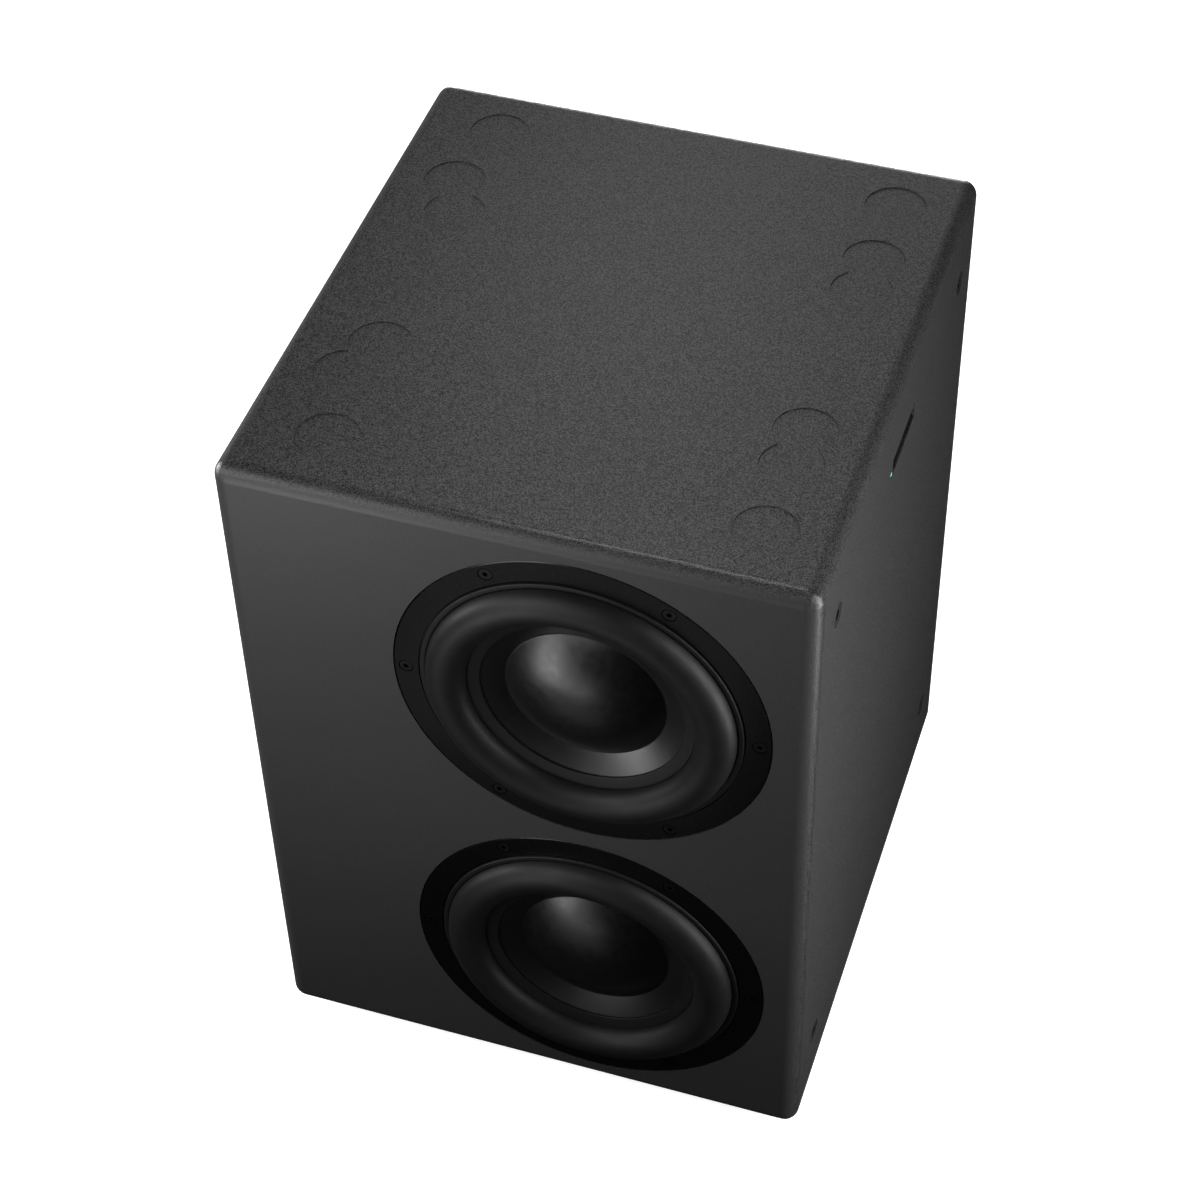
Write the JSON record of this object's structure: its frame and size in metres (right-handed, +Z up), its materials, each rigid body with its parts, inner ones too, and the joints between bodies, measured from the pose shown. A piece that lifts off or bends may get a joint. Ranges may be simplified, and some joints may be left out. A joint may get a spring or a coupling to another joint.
{
  "type": "studio subwoofer",
  "caption": "Powered subwoofer: a sealed board cabinet with front-facing woofers set to one side, rubber feet, side inserts and an amplifier in the back.",
  "frame": {"origin": "on the floor under the middle of the whole object, surrounds and knobs included", "axes": "+X to the right when facing the woofers, +Y to the back, +Z up"},
  "size_m": [0.373, 0.425, 0.534],
  "materials": {
    "cabinet_paint": "fine-textured dark grey paint over board",
    "bare_board": "raw fibreboard",
    "felt": "loose felt",
    "insert_steel": "zinc plated",
    "badge_black": "plain gloss black",
    "light_green": "clear green",
    "circuit_board": "solder mask",
    "foot_rubber": "matte rubber",
    "frame_black": "black powder coat over cast metal",
    "gasket_foam": "foam rubber",
    "surround_rubber": "satin rubber",
    "cone_black": "satin coated cone",
    "cap_black": "satin moulded cap",
    "former": "glass fibre tube",
    "copper": "enamelled copper wire",
    "spider_cloth": "resin-stiffened cloth",
    "plated_steel": "zinc plated",
    "ferrite": "bare ferrite",
    "terminal_board": "phenolic board",
    "black_screw": "black oxide",
    "amp_black": "black anodised",
    "winding": "taped winding",
    "sleeve": "plastic sleeve",
    "black_moulding": "moulded plastic",
    "steel": "nickel plated",
    "cable_sleeve": "flexible sleeve"
  },
  "bodies": {
    "cabinet": {"cabinet_shell": "cabinet_paint", "front_baffle": "cabinet_paint", "rear_panel": "cabinet_paint", "window_brace": "bare_board", "damping_lining": "felt", "side_inserts": "insert_steel", "badge_plate": "badge_black", "light_lens": "light_green", "light_board": "circuit_board", "rubber_feet": "foot_rubber", "foot_screws": "insert_steel", "upper_basket": "frame_black", "upper_gasket": "gasket_foam", "upper_surround": "surround_rubber", "upper_spider": "spider_cloth", "upper_top_plate": "plated_steel", "upper_magnet": "ferrite", "upper_yoke": "plated_steel", "upper_terminals": "terminal_board", "upper_frame_screws": "black_screw", "lower_basket": "frame_black", "lower_gasket": "gasket_foam", "lower_surround": "surround_rubber", "lower_spider": "spider_cloth", "lower_top_plate": "plated_steel", "lower_magnet": "ferrite", "lower_yoke": "plated_steel", "lower_terminals": "terminal_board", "lower_frame_screws": "black_screw", "amp_plate": "amp_black", "amp_gasket": "gasket_foam", "amp_screws": "black_screw", "heatsink": "amp_black", "amp_cover": "plated_steel", "amp_board": "circuit_board", "transformer": "winding", "capacitors": "sleeve", "mains_inlet": "black_moulding", "rocker_bezel": "black_moulding", "input_sockets": "black_moulding", "output_sockets": "black_moulding", "socket_screws": "black_screw", "control_pots": "black_moulding", "driver_cables": "cable_sleeve"},
    "upper_cone_assembly": {"upper_cone": "cone_black", "upper_dust_cap": "cap_black", "upper_coil_former": "former", "upper_voice_coil": "copper"},
    "lower_cone_assembly": {"lower_cone": "cone_black", "lower_dust_cap": "cap_black", "lower_coil_former": "former", "lower_voice_coil": "copper"},
    "rocker": {"power_rocker": "black_moulding"},
    "level_control": {"level_knob": "black_moulding", "level_shaft": "steel"},
    "crossover_control": {"crossover_knob": "black_moulding", "crossover_shaft": "steel"},
    "left_latch_tab": {"left_latch": "steel"},
    "right_latch_tab": {"right_latch": "steel"},
    "fuse_drawer_body": {"fuse_drawer": "black_moulding"}
  },
  "joints": [
    {"name": "upper_cone_travel", "type": "slide", "parent": "cabinet", "child": "upper_cone_assembly", "axis": [0, -1, 0], "range_m": [-0.008, 0.008], "stiffness_N_per_m": 3200, "deforming": ["upper_surround", "upper_spider"]},
    {"name": "lower_cone_travel", "type": "slide", "parent": "cabinet", "child": "lower_cone_assembly", "axis": [0, -1, 0], "range_m": [-0.008, 0.008], "stiffness_N_per_m": 3200, "deforming": ["lower_surround", "lower_spider"]},
    {"name": "power_rocker_tip", "type": "hinge", "parent": "cabinet", "child": "rocker", "pos_m": [0.06, 0.1975, 0.136], "axis": [1, 0, 0], "range_deg": [-20, 0]},
    {"name": "level_turn", "type": "hinge", "parent": "cabinet", "child": "level_control", "pos_m": [0.072, 0.1995, 0.271], "axis": [0, 1, 0], "range_deg": [-140, 140]},
    {"name": "crossover_turn", "type": "hinge", "parent": "cabinet", "child": "crossover_control", "pos_m": [0.012, 0.1995, 0.271], "axis": [0, 1, 0], "range_deg": [-140, 140]},
    {"name": "left_latch_push", "type": "slide", "parent": "cabinet", "child": "left_latch_tab", "axis": [0, -1, 0], "range_m": [0, 0.002], "stiffness_N_per_m": 800},
    {"name": "right_latch_push", "type": "slide", "parent": "cabinet", "child": "right_latch_tab", "axis": [0, -1, 0], "range_m": [0, 0.002], "stiffness_N_per_m": 800},
    {"name": "fuse_drawer_pull", "type": "slide", "parent": "cabinet", "child": "fuse_drawer_body", "axis": [0, 1, 0], "range_m": [0, 0.014]}
  ]
}
